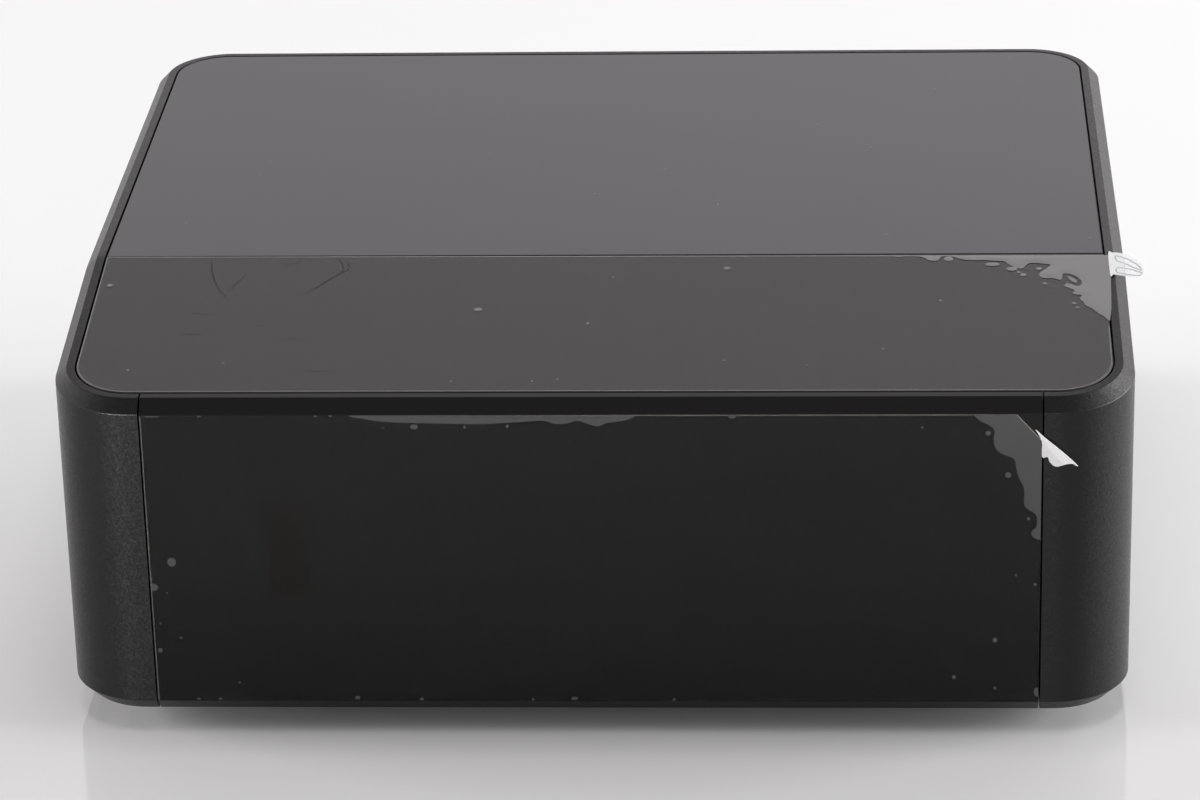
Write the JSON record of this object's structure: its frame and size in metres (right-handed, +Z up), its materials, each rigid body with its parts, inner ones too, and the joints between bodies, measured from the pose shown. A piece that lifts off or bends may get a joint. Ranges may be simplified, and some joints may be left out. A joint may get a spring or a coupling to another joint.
{
  "type": "network music streamer",
  "caption": "Half-width network music streamer: low satin black housing, gloss front, sloping touch glass, rear connector panel, in its protective films.",
  "frame": {"origin": "bottom centre of the whole object's box, on the surface that its feet stand on", "axes": "+X to the right seen from the front, +Y to the back, +Z up; the gloss front faces -Y"},
  "size_m": [0.2236, 0.2036, 0.0826],
  "materials": {
    "wrap": "satin black with a fine sparkling grain",
    "fascia": "deep gloss black",
    "cover": "satin dark grey with a very fine grain",
    "touch_glass": "opaque gloss black",
    "clear_film": "thin clear protective film",
    "white_tab": "plain white film tab",
    "sheet_steel": "zinc plated sheet",
    "black_steel": "fine textured black paint",
    "foot_rubber": "matt black",
    "socket_plastic": "moulded black",
    "plated_shell": "bright nickel plate",
    "gold_plate": "gold plate",
    "circuit_board": "green solder mask",
    "coil_wrap": "yellow tape over a wound coil",
    "capacitor_sleeve": "black sleeve",
    "heat_sink": "plain extrusion",
    "ribbon": "white flat cable",
    "wire_sleeve": "black sleeve",
    "black_screw": "blackened steel",
    "bright_screw": "bright plated steel"
  },
  "bodies": {
    "housing": {"housing_wrap": "wrap", "front_fascia": "fascia", "rear_top_cover": "cover", "touch_glass": "touch_glass", "base_plate": "sheet_steel", "rear_panel": "black_steel", "foot_front_left": "foot_rubber", "foot_front_right": "foot_rubber", "foot_rear_left": "foot_rubber", "foot_rear_right": "foot_rubber", "top_film": "clear_film", "front_film": "clear_film", "top_film_tab": "white_tab", "front_film_tab": "white_tab", "mains_inlet": "socket_plastic", "rocker_frame": "socket_plastic", "network_socket": "plated_shell", "usb_socket": "plated_shell", "video_socket": "plated_shell", "optical_socket": "socket_plastic", "line_jack_block": "socket_plastic", "line_out_left": "gold_plate", "line_out_right": "gold_plate", "digital_jack_block": "socket_plastic", "subwoofer_out": "gold_plate", "coaxial_out": "gold_plate", "minijack_block": "socket_plastic", "line_in": "plated_shell", "trigger_out": "plated_shell", "setup_switch": "socket_plastic", "main_board": "circuit_board", "power_board": "circuit_board", "touch_board": "circuit_board", "infrared_board": "circuit_board", "antenna_left": "circuit_board", "antenna_right": "circuit_board", "transformer": "coil_wrap", "capacitor_1": "capacitor_sleeve", "capacitor_2": "capacitor_sleeve", "heat_sink": "heat_sink", "network_module": "plated_shell", "converter_shield": "plated_shell", "ribbon_cable": "ribbon", "power_harness": "wire_sleeve", "base_screw_front_left": "black_screw", "base_screw_front_right": "black_screw", "base_screw_rear_left": "black_screw", "base_screw_rear_right": "black_screw", "panel_screw_left": "black_screw", "panel_screw_right": "black_screw", "main_board_screw_1": "bright_screw", "main_board_screw_2": "bright_screw", "main_board_screw_3": "bright_screw", "main_board_screw_4": "bright_screw", "power_board_screw_1": "bright_screw", "power_board_screw_2": "bright_screw"},
    "rocker": {"power_rocker": "socket_plastic"},
    "button": {"setup_button": "socket_plastic"},
    "shutter": {"optical_shutter": "socket_plastic"}
  },
  "joints": [
    {"name": "power_rocker_tilt", "type": "hinge", "parent": "housing", "child": "rocker", "pos_m": [-0.06107, 0.091, 0.0244], "axis": [1, 0, 0], "range_deg": [0, 20]},
    {"name": "setup_button_press", "type": "slide", "parent": "housing", "child": "button", "axis": [0, -1, 0], "range_m": [0, 0.0007], "stiffness_N_per_m": 400, "springref_m": -0.0008},
    {"name": "optical_shutter_swing", "type": "hinge", "parent": "housing", "child": "shutter", "pos_m": [0.0483, 0.0923, 0.0231], "axis": [-1, 0, 0], "range_deg": [0, 80], "stiffness_Nm_per_rad": 0.0002, "springref_deg": -17.19}
  ]
}
